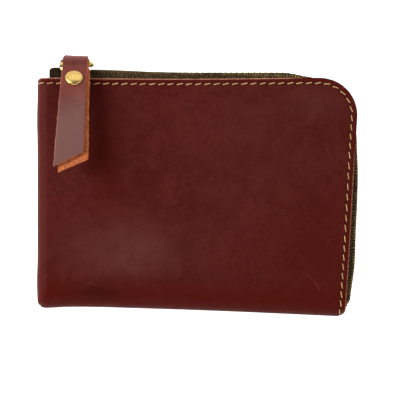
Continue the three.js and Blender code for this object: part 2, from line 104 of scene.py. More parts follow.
STITCH_SHARE = 0.76
STITCH_SLANT = 0.3
STRAND = 0.13  # radius of each of the thread's two strands
SEAM_PITCH = 3.0
LINING_SLACK = 0.25
LINING_STRIP = 16  # the lining stays level this far in from the zip

# Zip.
CHAIN_Y = 2.0
CHAIN_START_X = 4.6
SIDE_BEND = (127.0, -55.4)
CHAIN_END = (123.5, -88.9)
TAPE_TAIL = 2.3  # how far the tape's free end hangs past the CAD's straight cut
CHAIN_SINK = 0.3  # how far the zip has sunk between the panels along the top
TAPE_SINK = 0.2  # how much further its tape has
RUN_END_X = 98.0
CORNER_RADIUS = 28.8
CHAIN_HALF_WIDTH = 2.5
CHAIN_HALF_THICK = 0.6
TOOTH_PITCH = 2.28
SLIDER_START_X = cad_box("slider_body")[0][0]

# Pull ring and strap.
WIRE = 0.95
RING_Y = (ring_high[1] + ring_low[1]) / 2
WIRE_REACH = (ring_high[1] - ring_low[1]) / 2  # the CAD wire is faceted, so a little thinner
RING_LEFT_X = ring_low[0] + WIRE_REACH - 0.6  # a little wide, as bent wire is
RING_RIGHT_X = ring_high[0] - WIRE_REACH
RING_BACK_Z = ring_low[2] + WIRE_REACH
RING_FRONT_Z = ring_high[2] - WIRE_REACH
RIVET_X = (rivet_low[0] + rivet_high[0]) / 2
STRAP = 1.5
LOOP = 2.2
PLY_GAP = 0.3
FOLD_LEFT_X = 11.35  # the strap is narrow where it folds, so that it clears the ring's side
FOLD_RIGHT_X = 20.0
PLY_LEFT_X = 10.15
FOLD_TWIST = 0.9  # how much of the cut edge turns up to the right of the fold
RIVET_REACH = 6.75
STEEP = 0.69  # slope of the strap where it leaves the ring
SHALLOW = 0.09  # its slope at the tips
CLIMB = 8.2  # how far it stays steep
SETTLE = 5.0
PINCH = 1.9  # the two plies meet this far from the ring
FRONT_REACH = (41.0, 35.2)  # length of the front ply along its left and right edges
BACK_REACH = (43.2, 38.0)
RING_CORNER = 2.4

# Studio, in metres.
CAMERA_SPOT = (0.0008, -0.0057)
CAMERA_HEIGHT = 1.5
VIEW_WIDTH = 0.16
FLOOR_REACH = 3.0
FLOOR_GAP = 0.0001
LIGHTS = [
    ("key", (-0.75, 0.25, 0.6), (0.6, 0.6), 17.0),
    ("back", (0.1, 0.9, 0.45), (1.2, 0.5), 4.0),
    ("front", (0.1, -0.9, 0.5), (1.2, 0.5), 7.0),
    ("fill", (0.8, 0.0, 0.7), (0.8, 0.8), 4.0),
]
LIGHT_AIM = (0.0, 0.0, 0.01)

# Patches on the leather, as strength, middle and reach each way: painted sheen (grey), painted shade (deeper
# red) and a darker spot.
PAINTED_SHEEN_PATCHES = [(0.75, (36, 68), (22, 11)), (0.3, (112, 9), (12, 7)), (0.14, (88, 30), (26, 26))]
PAINTED_RED_SHADE_PATCHES = [(0.5, (5, 82), (5, 9)), (0.6, (27, 30), (7, 24)), (0.55, (116, 70), (26, 26))]
SHADE_PATCHES = [(0.75, (25, 85), (8, 3.6))]

# The tape's outer edge: steps in as (how far, from where, over what length), then swells as
# (how far out, round where, how long).
TAPE_STEPS = [(0.6, 16, 30), (0.9, 66, 32), (-1.3, 94.5, 12)]
TAPE_SWELLS = [(-0.5, 138, 8), (0.5, 186, 9)]
TAPE_FULLNESS = 0.36
TAPE_FOLD = 0.95  # how far out the folded end at the slider bulges
TAPE_PRESS = 0.76  # how flat the strap and slider press it
TAPE_ROUNDING = 3.0  # how far the free end rounds in


def to_row(points):
    """Points in millimetres in the pouch's frame, as metres in the row frame."""
    return np.asarray(points, float) * MM + ORIGIN


def smooth(t):
    s = np.clip(t, 0, 1)
    return s * s * (3 - 2 * s)


def bell(t):
    return np.exp(-np.square(t))


def wander(x, y, size, seed):
    """Smooth noise from about -1 to 1 whose bumps are about that size."""
    random = np.random.default_rng(seed)
    total = np.zeros(np.broadcast(x, y).shape)
    for _ in range(9):
        turn = random.uniform(0, math.tau)
        wave = math.tau / (size * random.uniform(1.2, 3.2))
        phase = random.uniform(0, math.tau)
        total += np.sin(wave * (x * math.cos(turn) + y * math.sin(turn)) + phase)
    return total / 4.5


# ---- Materials ----


class Look:
    """One procedural material. Its textures are in millimetres of the object's own space."""

    def __init__(self, name):
        self.material = bpy.data.materials.new(name)
        self.material.use_nodes = True
        self.tree = self.material.node_tree
        self.shader = self.tree.nodes["Principled BSDF"]

    def node(self, kind, values, **settings):
        made = self.tree.nodes.new("ShaderNode" + kind)
        for key, value in settings.items():
            setattr(made, key, value)
        for key, value in values.items():
            self.feed(made.inputs[key], value)
        return made

    def feed(self, socket, value):
        if isinstance(value, bpy.types.NodeSocket):
            self.tree.links.new(value, socket)
        else:
            socket.default_value = (*value, 1.0) if socket.type == "RGBA" else value

    def place(self, stretch=(1, 1, 1), turn=0.0):
        """Object coordinates in millimetres, turned about Z and stretched."""
        spot = self.node("TexCoord", {}).outputs["Object"]
        scale = [share / MM for share in stretch]
        values = {"Vector": spot, "Rotation": (0, 0, math.radians(turn))}
        turned = self.node("Mapping", values).outputs["Vector"]
        return self.node("Mapping", {"Vector": turned, "Scale": scale}).outputs["Vector"]

    def noise(self, size, detail=2.0, stretch=(1, 1, 1), turn=0.0, rough=0.5):
        values = {
            "Vector": self.place(stretch, turn),
            "Scale": 1 / size,
            "Detail": detail,
            "Roughness": rough,
        }
        return self.node("TexNoise", values).outputs["Fac"]

    def cells(self, size, feature="DISTANCE_TO_EDGE"):
        values = {"Vector": self.place(), "Scale": 1 / size}
        return self.node("TexVoronoi", values, feature=feature).outputs["Distance"]

    def value(self, name):
        return self.node("Attribute", {}, attribute_name=name).outputs["Fac"]

    def maths(self, operation, a, b=0.0):
        return self.node("Math", {0: a, 1: b}, operation=operation).outputs[0]

    def times(self, a, b):
        return self.maths("MULTIPLY", a, b)

    def plus(self, a, b):
        return self.maths("ADD", a, b)

    def minus(self, a, b):
        return self.maths("SUBTRACT", a, b)

    def larger(self, a, b):
        return self.maths("MAXIMUM", a, b)

    def ease(self, value, low, high, first=0.0, last=1.0):
        """Eases from first to last while the value goes from low to high."""
        values = {"Value": value, "From Min": low, "From Max": high, "To Min": first, "To Max": last}
        return self.node("MapRange", values, interpolation_type="SMOOTHSTEP").outputs[0]

    def mix(self, share, a, b):
        made = self.node("Mix", {}, data_type="RGBA", clamp_factor=True)
        self.feed(made.inputs[0], share)
        self.feed(made.inputs[6], a)
        self.feed(made.inputs[7], b)
        return made.outputs[2]

    def coat(self, base, *coats):
        """Covers the base with each colour in turn, by its share."""
        for share, colour in coats:
            base = self.mix(share, base, colour)
        return base

    def finish(self, colour, roughness, height=None, depth=0.1, **fixed):
        """Height is a texture from 0 to 1 that stands for this depth in millimetres."""
        self.feed(self.shader.inputs["Base Color"], colour)
        self.feed(self.shader.inputs["Roughness"], roughness)
        for key, value in fixed.items():
            self.shader.inputs[key.replace("_", " ")].default_value = value
        if height is not None:
            values = {"Height": height, "Distance": depth * MM, "Strength": 1.0}
            normal = self.node("Bump", values).outputs["Normal"]
            self.feed(self.shader.inputs["Normal"], normal)
        return self.material


def rgb(red, green, blue):
    """A colour given as it looks on a screen, 0 to 255, as Blender's linear values."""
    return [((c / 255 + 0.055) / 1.055) ** 2.4 for c in (red, green, blue)]


def scratches(look, turn, size, threshold):
    """Thin lines that run one way, a little broken, as 0 or 1."""
    lines = look.noise(size, 1.0, (0.02, 1.0, 1.0), turn)
    broken = look.noise(9.0, 1.0)
    line = look.ease(lines, threshold, threshold + 0.03)
    return look.times(line, look.ease(broken, 0.48, 0.6))


# Each is the centre and radius of the arc a scratch follows, then its own middle and length.
SCUFFS = [
    ((101.7, -89.0), 11.6, (109.6, -80.6), 12.0),
    ((108.6, -10.4), 7.8, (103.6, -4.5), 3.6),
    ((140.0, -20.0), 26.0, (115.6, -28.8), 7.0),
    ((5.0, -66.0), 13.2, (3.4, -79.1), 3.4),
]


def scuff(look, centre, reach, middle, length):
    """A thin curved scratch that fades out towards its ends."""
    flat = look.place((1, 1, 0))
    away = []
    for x, y in (centre, middle):
        row = (x + ORIGIN[0] / MM, y + ORIGIN[1] / MM, 0.0)
        gap = look.node("VectorMath", {0: flat, 1: row}, operation="DISTANCE")
        away.append(gap.outputs["Value"])
    off = look.maths("ABSOLUTE", look.minus(away[0], reach))
    off = look.plus(off, look.ease(look.noise(2.5, 2.0), 0.3, 0.7, -0.15, 0.15))
    line = look.ease(off, 0.08, 0.3, 1.0, 0.0)
    return look.times(line, look.ease(away[1], length * 0.2, length * 0.6, 1.0, 0.0))


def needle_holes(look):
    """Two holes to a stitch along the edge, from how far along and how far in a point is."""
    run = look.value("run")
    inset = look.value("inset")
    share = look.maths("FRACT", look.maths("DIVIDE", run, STITCH_PITCH))
    found = None
    for start, off in ((0.0, STITCH_SLANT), (STITCH_SHARE, -STITCH_SLANT), (1.0, STITCH_SLANT)):
        along = look.times(look.minus(share, start), STITCH_PITCH)
        across = look.minus(inset, STITCH_INSET + off)
        squares = look.plus(look.maths("POWER", along, 2.0), look.maths("POWER", across, 2.0))
        reach = look.maths("SQRT", squares)
        hole = look.ease(reach, 0.25, 0.55, 1.0, 0.0)
        found = hole if found is None else look.larger(found, hole)
    return found


def leather_grain(look, size):
    """Fine pores and creases of a smooth full-grain hide."""
    creases = look.ease(look.cells(size), 0.0, 0.16)
    pores = look.noise(size * 0.45, 3.0)
    return look.plus(look.times(creases, 0.55), look.times(pores, 0.45))


def body_leather():
    look = Look("body_leather")
    clouds = look.noise(24.0, 3.0)
    mottle = look.noise(1.6, 3.0)
    blotches = look.noise(6.0, 4.0, (1, 1, 1), 30)
    # Painted sheen: a greyish haze where the level leather would reflect the light.
    painted_sheen = look.times(look.value("painted_sheen"), look.ease(look.noise(7.0, 4.0), 0.25, 0.75, 0.55, 1.0))
    marks = look.larger(scratches(look, 12, 0.5, 0.71), scratches(look, -38, 0.6, 0.73))
    marks = look.larger(marks, scratches(look, 74, 0.55, 0.73))
    base = look.mix(look.ease(clouds, 0.3, 0.7), (0.043, 0.0046, 0.0034), (0.054, 0.0070, 0.0056))
    base = look.coat(
        base,
        (look.ease(mottle, 0.35, 0.72, 0.0, 0.6), (0.030, 0.0030, 0.0022)),
        (look.ease(blotches, 0.42, 0.7, 0.0, 0.55), (0.058, 0.0088, 0.0066)),
        (painted_sheen, (0.074, 0.0210, 0.0170)),
        # Painted shade: a deeper, darker red on the rolled edges and a few patches, where the leather turns
        # from the light.
        (look.value("painted_red_shade"), (0.046, 0.0030, 0.0013)),
        (look.times(look.value("shade"), 0.8), (0.020, 0.0018, 0.0010)),
        (look.times(marks, 0.3), (0.085, 0.032, 0.026)),
    )
    for one in SCUFFS:
        base = look.mix(look.times(scuff(look, *one), 0.7), base, (0.085, 0.0125, 0.0085))
    dust = look.ease(look.cells(8.0, "F1"), 0.012, 0.026, 1.0, 0.0)
    specks = look.ease(look.noise(0.9, 0.0), 0.79, 0.84)
    holes = needle_holes(look)
    raw = look.times(look.value("raw"), look.ease(look.noise(1.1, 2.0), 0.34, 0.56, 0.45, 1.0))
    fibres = look.noise(0.35, 2.0, (1, 1, 3))
    cut = look.mix(look.ease(fibres, 0.35, 0.65), (0.15, 0.052, 0.031), (0.41, 0.195, 0.122))
    base = look.coat(
        base,
        (look.times(dust, 0.45), (0.16, 0.08, 0.065)),
        (look.times(specks, 0.5), (0.010, 0.0015, 0.0012)),
        # Painted shade: the needle holes are painted near black for the shade inside them.
        (look.times(holes, 0.8), (0.012, 0.0012, 0.0008)),
        (raw, cut),
    )
    rough = look.larger(look.ease(look.noise(3.0, 3.0), 0.3, 0.7, 0.4, 0.52), look.times(raw, 0.9))
    height = look.plus(leather_grain(look, 0.55), look.times(holes, -2.5))
    height = look.minus(height, look.times(marks, 0.3))
    height = look.plus(height, look.times(look.times(raw, fibres), 1.5))
    return look.finish(base, rough, height, 0.05, Specular_IOR_Level=0.03)


def strap_leather():
    look = Look("strap_leather")
    clouds = look.noise(10.0, 3.0)
    mottle = look.noise(1.1, 3.0)
    marks = look.larger(scratches(look, 80, 0.5, 0.68), scratches(look, 20, 0.5, 0.72))
    raw = look.value("raw")
    fibres = look.noise(0.4, 3.0, (1, 1, 2))
    cut = look.mix(look.ease(fibres, 0.35, 0.65), (0.13, 0.028, 0.008), (0.52, 0.15, 0.050))
    base = look.mix(look.ease(clouds, 0.3, 0.7), (0.080, 0.0185, 0.0145), (0.110, 0.0310, 0.0255))
    base = look.coat(
        base,
        (look.ease(mottle, 0.4, 0.75, 0.0, 0.35), (0.066, 0.0130, 0.0100)),
        # Painted sheen: the strap is painted greyer towards its flatter tips, as if reflecting the light.
        (look.value("painted_sheen"), (0.108, 0.0470, 0.0410)),
        # Painted shade: a deeper, darker red near the rivet, where the strap climbs steeply.
        (look.value("painted_red_shade"), (0.112, 0.0170, 0.0105)),
        (look.times(marks, 0.3), (0.12, 0.05, 0.04)),
        (raw, cut),
    )
    rough = look.larger(look.ease(look.noise(2.0, 3.0), 0.3, 0.7, 0.38, 0.5), look.times(raw, 0.9))
    height = look.plus(leather_grain(look, 0.5), look.times(look.times(raw, fibres), 2.5))
    return look.finish(base, rough, height, 0.06, Specular_IOR_Level=0.14)


def woven_cloth(name, dark, light, pitch, depth):
    """A plain weave of threads that cross at right angles in X and Y."""
    look = Look(name)
    spot = look.node("SeparateXYZ", {"Vector": look.place()})
    turn = math.pi / pitch
    warp = look.maths("SINE", look.times(spot.outputs["X"], turn))
    weft = look.maths("SINE", look.times(spot.outputs["Y"], turn))
    over = look.ease(look.times(warp, weft), -0.4, 0.4)
    threads = look.mix(over, look.maths("ABSOLUTE", warp), look.maths("ABSOLUTE", weft))
    height = look.node("RGBToBW", {"Color": threads}).outputs[0]
    slub = look.noise(2.2, 3.0)
    colour = look.mix(look.ease(height, 0.1, 0.8), dark, light)
    colour = look.mix(look.ease(slub, 0.4, 0.7, 0.0, 0.3), colour, dark)
    return look.finish(colour, 0.88, height, depth, Specular_IOR_Level=0.2, Sheen_Weight=0.25)


def tape_cloth():
    """Zip tape: a coarse dark weave whose outer edge is flecked where the teeth show through it."""
    look = Look("tape_cloth")
    run = look.value("run")
    across = look.value("across")
    slanted = look.plus(run, look.times(across, 0.5))
    weft = look.maths("SINE", look.times(slanted, math.pi / 0.62))
    warp = look.maths("SINE", look.times(across, math.pi / 0.7))
    height = look.ease(look.times(weft, warp), -0.5, 0.6)
    rim = look.times(look.ease(across, 0.7, 1.1), look.ease(across, 1.9, 2.5, 1.0, 0.0))
    teeth = look.ease(look.maths("SINE", look.times(run, math.tau / 1.14)), 0.1, 0.7)
    broken = look.ease(look.noise(2.4, 2.0), 0.42, 0.55)
    glints = look.times(look.times(rim, teeth), broken)
    colour = look.coat(
        look.mix(height, (0.006, 0.0034, 0.0016), (0.066, 0.040, 0.020)),
        (look.ease(look.noise(0.5, 3.0), 0.5, 0.75, 0.0, 0.6), (0.012, 0.008, 0.005)),
        (look.times(look.ease(look.noise(0.7, 1.0), 0.58, 0.66), 0.55), (0.13, 0.092, 0.040)),
        (look.times(glints, look.ease(run, 12.0, 150.0, 0.25, 0.75)), (0.26, 0.19, 0.045)),
        # Painted shade: the tape's folded end by the slider is darkened to near black.
        (look.ease(run, 4.2, 5.6, 0.7, 0.0), (0.006, 0.004, 0.003)),
    )
    return look.finish(colour, 0.9, height, 0.16, Specular_IOR_Level=0.03)


def brass(name, light, dark, roughness):
    look = Look(name)
    tarnish = look.noise(2.4, 4.0)
    colour = look.mix(look.ease(tarnish, 0.5, 0.8, 0.0, 0.5), light, dark)
    smear = look.noise(0.8, 3.0, (0.3, 1, 1), 25)
    rough = look.ease(smear, 0.3, 0.7, roughness - 0.05, roughness + 0.1)
    dents = look.noise(0.5, 2.0)
    return look.finish(colour, rough, dents, 0.012, Metallic=1.0)


def thread_look(name, dark, light):
    look = Look(name)
    fibres = look.noise(0.18, 3.0)
    worn = look.noise(3.5, 2.0)
    colour = look.mix(look.ease(fibres, 0.35, 0.65), dark, light)
    colour = look.mix(look.ease(worn, 0.4, 0.75, 0.0, 0.45), colour, dark)
    return look.finish(colour, 0.75, fibres, 0.05, Specular_IOR_Level=0.15, Sheen_Weight=0.1)


def floor_look():
    look = Look("floor")
    paper = look.noise(1.5, 3.0)
    lit = {"Emission_Color": (1.0, 1.0, 1.0, 1.0), "Emission_Strength": 0.6}
    return look.finish((0.95, 0.95, 0.95), 0.9, paper, 0.01, Specular_IOR_Level=0.0, **lit)


LOOKS = {
    "body_leather": body_leather(),
    "strap_leather": strap_leather(),
    "lining": woven_cloth("lining_cloth", rgb(46, 33, 24), rgb(112, 88, 66), 0.42, 0.12),
    "pocket": woven_cloth("pocket_cloth", rgb(52, 38, 27), rgb(124, 98, 74), 0.42, 0.12),
    "tape": tape_cloth(),
    "rivet": brass("rivet_brass", (0.42, 0.285, 0.088), (0.30, 0.18, 0.045), 0.3),
    "brass": brass("slider_brass", (0.40, 0.32, 0.085), (0.20, 0.15, 0.04), 0.26),
    "ring": brass("ring_brass", (0.34, 0.27, 0.060), (0.17, 0.125, 0.03), 0.26),
    "teeth": brass("worn_brass", (0.30, 0.22, 0.07), (0.10, 0.07, 0.02), 0.34),
    "thread": thread_look("saddle_thread", (0.24, 0.125, 0.042), (0.55, 0.33, 0.145)),
    "inner_thread": thread_look("inner_thread", rgb(120, 76, 40), rgb(176, 128, 78)),
}


# ---- Mesh helpers ----


def add_object(name, data):
    made = bpy.data.objects.new(name, data)
    bpy.context.scene.collection.objects.link(made)
    return made


def make_piece(name, points, faces, look, values=None, sharp=None):
    """A mesh object from points in millimetres in the pouch's frame, its faces turned outward."""
    points = to_row(points)
    mesh = bpy.data.meshes.new(name)
    mesh.from_pydata(points.tolist(), [], [list(map(int, face)) for face in faces])
    for key, numbers in (values or {}).items():
        layer = mesh.attributes.new(key, "FLOAT", "POINT")
        layer.data.foreach_set("value", np.asarray(numbers, np.float32).ravel())
    work = bmesh.new()
    work.from_mesh(mesh)
    if work.calc_volume(signed=True) < 0:
        bmesh.ops.reverse_faces(work, faces=work.faces)
    work.to_mesh(mesh)
    work.free()
    mesh.shade_smooth()
    if sharp is not None:
        mesh.set_sharp_from_angle(angle=math.radians(sharp))
    mesh.materials.append(look)
    return add_object(name, mesh)


def grid_faces(rows, columns, first=0, wrap_rows=False, wrap_columns=False):
    """Quads between the points of a grid that are numbered row by row."""
    faces = []
    for i in range(rows if wrap_rows else rows - 1):
        for j in range(columns if wrap_columns else columns - 1):
            k, n = (i + 1) % rows, (j + 1) % columns
            corners = (i * columns + j, k * columns + j, k * columns + n, i * columns + n)
            faces.append([first + c for c in corners])
    return faces


def slab(outer, inner):
    """Points and faces of the closed piece between two grids of points."""
    rows, columns = outer.shape[:2]
    count = rows * columns
    index = np.arange(count).reshape(rows, columns)
    rim = [*index[:, 0], *index[-1, 1:], *index[-2::-1, -1], *index[0, -2:0:-1]]
    faces = grid_faces(rows, columns)
    faces += [[count + c for c in reversed(face)] for face in faces]
    for a, b in zip(rim, [*rim[1:], rim[0]]):
        faces.append([b, a, a + count, b + count])
    points = np.concatenate([outer.reshape(-1, 3), inner.reshape(-1, 3)])
    return points, faces


def both_layers(values):
    """A slab's point values, the same on its outer and inner grid."""
    return {key: np.tile(np.ravel(numbers), 2) for key, numbers in values.items()}


def tube(line, radius, sides, closed=False, across=(0.0, 0.0, 1.0)):
    """Points and faces of a round tube along a line of points, with capped or joined ends."""
    line = np.asarray(line, float)
    ahead = np.roll(line, -1, 0) - np.roll(line, 1, 0) if closed else np.gradient(line, axis=0)
    tangent = ahead / np.linalg.norm(ahead, axis=1)[:, None]
    side = np.cross(tangent, across)
    side /= np.linalg.norm(side, axis=1)[:, None]
    up = np.cross(side, tangent)
    turn = np.arange(sides) * math.tau / sides
    ring = np.cos(turn)[None, :, None] * side[:, None] + np.sin(turn)[None, :, None] * up[:, None]
    radius = np.broadcast_to(radius, len(line))
    points = (line[:, None] + radius[:, None, None] * ring).reshape(-1, 3)
    faces = grid_faces(len(line), sides, wrap_rows=closed, wrap_columns=True)
    if not closed:
        faces.append(list(range(sides)))
        faces.append([(len(line) - 1) * sides + j for j in reversed(range(sides))])
    return points, faces


def join_parts(parts):
    """Several (points, faces) as one."""
    points, faces, first = [], [], 0
    for part_points, part_faces in parts:
        points.append(part_points)
        faces += [[first + c for c in face] for face in part_faces]
        first += len(part_points)
    return np.concatenate(points), faces


def show(piece, body, node):
    """The piece moves with a body and stands for a CAD node, which it hides."""
    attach(piece, body)
    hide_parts(node)
    return piece


# ---- The pouch's outline and surface ----


def round_off(p, q, centre_p, centre_q, sign_p, sign_q):
    """Pulls a square corner of the flat pattern in to a round one."""
    dx = (p - centre_p) * sign_p
    dy = (q - centre_q) * sign_q
    inside = (dx > 0) & (dy > 0)
    pull = np.where(inside, np.maximum(dx, dy) / np.maximum(np.hypot(dx, dy), 1e-9), 1.0)
    return centre_p + (p - centre_p) * pull, centre_q + (q - centre_q) * pull


def skew(p, q):
    """The lean of the right edge, the drop of the bottom one, and how the edges sag and bulge."""
    lean = RIGHT_LEAN * np.clip((q - ZIP_CORNER) / (HEIGHT - ZIP_CORNER), 0, 1)
    drop = BOTTOM_DROP * np.clip(p / WIDTH, 0, 1) ** DROP_POWER + BOTTOM_SAG
    drop += 0.55 * bell((p - 3) / 6) - 0.12 * bell((p - 24) / 10)
    sag = TOP_SAG * np.sin(math.pi * np.clip((p - 8) / 96, 0, 1)) * (1 - smooth(q / 30))
    bulge = 0.3 + 0.2 * bell((q - 17) / 7) + 0.25 * bell((q - 81) / 7)
    bulge = bulge * (1 - smooth(p / 20))
    x = p - lean * np.clip((p - 30) / (WIDTH - 60), 0, 1) - bulge
    y = -q - drop * np.clip((q - 30) / (HEIGHT - 60), 0, 1) - sag
    return x, y


def on_pattern(p, q, corner):
    right, top, radius = corner
    p, q = round_off(p, q, right - radius, top + radius, 1, -1)
    p, q = round_off(p, q, SMALL_CORNER + 0.9, HEIGHT - SMALL_CORNER - 0.9, -1, 1)
    p, q = round_off(p, q, 1.6, 1.6, -1, -1)
    p, q = round_off(p, q, right - FREE_CORNER, HEIGHT - FREE_CORNER, 1, 1)
    return skew(p, q)


def roll_profile(distance, reach):
    return np.sqrt(1 - (1 - np.clip(distance / reach, 0, 1)) ** 2)


def face_rise(p, q, side, strip):
    """The leather's face above the middle plane, with the soft dents of a pouch that is in use."""
    from_zip = np.minimum(WIDTH - p, q)
    if side < 0:
        return EDGE_RISE + BACK_CROWN * np.clip((from_zip - strip) / 8, 0, 1)
    crown = smooth((from_zip - strip) / 24) * smooth(p / 30) * smooth((HEIGHT - q) / 30)
    dents = 0.28 * wander(p, q, 26, 3) + 0.1 * wander(p, q, 9, 5)
    return EDGE_RISE + FRONT_CROWN * crown + dents * smooth((from_zip - strip) / 10)


def on_shell(p, q, depth, side, corner, strip=BAND):
    """A point at a depth below the front panel's face (side 1) or the back panel's (side -1)."""
    in_p = np.where(p < LEFT_ROUND, depth + p * (LEFT_ROUND - depth) / LEFT_ROUND, p)
    from_bottom = HEIGHT - q
    near = depth + from_bottom * (BOTTOM_ROUND - depth) / BOTTOM_ROUND
    in_q = np.where(from_bottom < BOTTOM_ROUND, HEIGHT - near, q)
    x, y = on_pattern(in_p, in_q, corner)
    roll = roll_profile(p, LEFT_ROUND) * roll_profile(from_bottom, BOTTOM_ROUND)
    height = face_rise(p, q, side, strip) - depth
    pucker = 0.12 * wander(q, p, 7, 8) * bell((p - 3) / 2.5)
    pucker += 0.14 * wander(p, q, 8, 9) * bell((from_bottom - 4) / 3)
    rise = SEAM_GAP / 2 + (height - SEAM_GAP / 2) * roll + pucker * roll
    crease = 0.35 * bell(rise / 0.5)
    x = x + crease * (1 - smooth(p / 2))
    y = y + crease * (1 - smooth(from_bottom / 2))
    return np.stack([x, y, MID_Z + side * rise], axis=-1)


LEATHER_CORNER = (WIDTH, 0.0, ZIP_CORNER)
LINING_CORNER = (WIDTH - 3, 1.2, 26.0)
STITCH_START = LEFT_ROUND - 0.6
STITCH_RADIUS = ZIP_CORNER - STITCH_INSET
TOP_RUN = WIDTH - ZIP_CORNER - STITCH_START
ARC_RUN = STITCH_RADIUS * math.pi / 2


def stations(reach, far, near, step):
    """Distances from a rolled edge: its quarter turn, even steps to near, then far's own."""
    turn = reach * (1 - np.cos(np.radians(np.arange(0, 90, 6))))
    middle = np.linspace(reach, near, max(2, round((near - reach) / step)))
    return np.concatenate([turn, middle, far])


def run_along(p, q):
    """How far along the stitching a point lies, and how far in from the cut edge."""
    dx = p - (WIDTH - ZIP_CORNER)
    dy = ZIP_CORNER - q
    angle = np.arctan2(np.maximum(dx, 0), np.maximum(dy, 1e-9))
    on_side = WIDTH - p < q
    run = np.where(on_side, TOP_RUN + ARC_RUN - dy, p - STITCH_START)
    run = np.where((dx > 0) & (dy > 0), TOP_RUN + angle * STITCH_RADIUS, run)
    return run, np.minimum(WIDTH - p, q)


def patches(p, q, places):
    """Soft round patches, from their strengths, middles and reaches."""
    total = 0.0
    for amount, (x, y), (wide, high) in places:
        total = total + amount * bell(np.hypot((p - x) / wide, (q - y) / high))
    return total


def panel_values(p, q, raw):
    """What the leather's material reads: its cut edge, its stitching, its painted sheen, its painted shade
    and a darker patch.
    """
    run, inset = run_along(p, q)
    # Painted sheen: greyish patches, faded out near the bottom.
    painted_sheen = patches(p, q, PAINTED_SHEEN_PATCHES) * (1 - smooth((q - (HEIGHT - 15)) / 6))
    # Painted shade: a deeper, darker red along the bottom and left rolls, just inside the zip edges and in a
    # few patches.
    near_bottom = smooth((q - (HEIGHT - 14)) / 9) * (1 - 0.4 * smooth((p - 96) / 16))
    painted_red_shade = 0.8 * near_bottom + 0.8 * smooth((q - (HEIGHT - 5)) / 3) + 0.8 * (1 - smooth(p / 4.2))
    painted_red_shade += 0.7 * bell((inset - 1.0) / 0.9) * (1 - raw) + patches(p, q, PAINTED_RED_SHADE_PATCHES)
    painted_sheen, painted_red_shade, shade = np.clip(painted_sheen, 0, 1), np.clip(painted_red_shade, 0, 1), patches(p, q, SHADE_PATCHES)
    return {"raw": raw, "run": run, "inset": inset, "painted_sheen": painted_sheen, "painted_red_shade": painted_red_shade, "shade": shade}


def edge_wear(p, q):
    """How bare the cut edge is: pale along the top, burnished round the corner, dull down the side."""
    along_top = 1 - smooth((p - 98) / 9)
    down_side = 0.55 * smooth((q - 26) / 10) * smooth((p - 100) / 10)
    return np.maximum(along_top, down_side)


def add_panel(name, node, side):
    band = np.array([4.2, 3.7, 3.3, 3.0, 2.65, 2.3, 1.95, 1.6, 1.2, 0.8, 0.5, 0.42, 0.2, 0.06, 0.0])
    p = stations(LEFT_ROUND, WIDTH - band, WIDTH - BAND, 1.0)
    q = stations(BOTTOM_ROUND, HEIGHT - band, HEIGHT - BAND, 1.0)
    p, q = np.meshgrid(p, HEIGHT - q, indexing="ij")
    inset = np.minimum(WIDTH - p, q)
    groove = 0.12 * bell((inset - STITCH_INSET) / 0.55)
    cut = np.clip(1 - inset / RAW_EDGE, 0, 1)
    showing = 1 - 0.75 * smooth((p - 96) / 10)
    outer = on_shell(p, q, groove + 0.62 * cut**1.6 * showing, side, LEATHER_CORNER)
    under = LEATHER - 0.4 * np.clip(1 - inset / 0.2, 0, 1)
    inner = on_shell(p, q, under, side, LEATHER_CORNER)
    raw = np.clip((0.46 - inset) / 0.1, 0, 1) * edge_wear(p, q)
    values = both_layers(panel_values(p, q, raw))
    values["raw"][p.size :] = 1.0
    points, faces = slab(outer, inner)
    piece = make_piece(name, points, faces, LOOKS["body_leather"], values)
    return show(piece, "root", node)


def add_lining(name, node, side):
    outer_depth = LEATHER + TAPE + 0.65
    right, top = LINING_CORNER[:2]
    p = stations(LEFT_ROUND, [right], right - 1.5, 2.0)
    q = stations(BOTTOM_ROUND, [HEIGHT - top], HEIGHT - top - 1.5, 2.0)
    p, q = np.meshgrid(p, HEIGHT - q, indexing="ij")
    slack = LINING_SLACK * (1 + wander(p, q, 14, 21)) * smooth((q - 12) / 20) * smooth((HEIGHT - q) / 16)
    outer = on_shell(p, q, outer_depth + slack, side, LINING_CORNER, LINING_STRIP)
    inner = on_shell(p, q, outer_depth + LINING + slack, side, LINING_CORNER, LINING_STRIP)
    points, faces = slab(outer, inner)
    piece = make_piece(name, points, faces, LOOKS["lining"])
    return show(piece, "root", node)


# ---- Zip ----


def chain_samples():
    """Points of the teeth's middle line and their distances along it, with a tail past its end."""
    centre_y = CHAIN_Y - CORNER_RADIUS
    turn = np.linspace(math.pi / 2, 0, 120)
    arc = np.stack([RUN_END_X + CORNER_RADIUS * np.cos(turn), centre_y + CORNER_RADIUS * np.sin(turn)], 1)
    t = np.linspace(0, 1, 120)[1:, None]
    start, bend, end = arc[-1], np.array(SIDE_BEND), np.array(CHAIN_END)
    side = (1 - t) ** 2 * start + 2 * t * (1 - t) * bend + t**2 * end
    straight = np.stack([np.linspace(CHAIN_START_X, RUN_END_X, 100)[:-1], np.full(99, CHAIN_Y)], 1)
    line = np.concatenate([straight, arc, side])
    line[:, 1] -= CHAIN_SINK * smooth((line[:, 0] - 26) / 40) * smooth((line[:, 1] + 20) / 20)
    line[:, 1] -= CHAIN_SINK * bell((line[:, 0] - 104) / 4) * smooth((line[:, 1] + 20) / 20)
    tail = line[-1] + 4 * (line[-1] - line[-2]) / np.linalg.norm(line[-1] - line[-2])
    line = np.concatenate([line, [tail]])
    steps = np.linalg.norm(np.diff(line, axis=0), axis=1)
    return line, np.concatenate([[0.0], np.cumsum(steps)])


CHAIN_LINE, CHAIN_RUN = chain_samples()
CHAIN_LENGTH = CHAIN_RUN[-2]


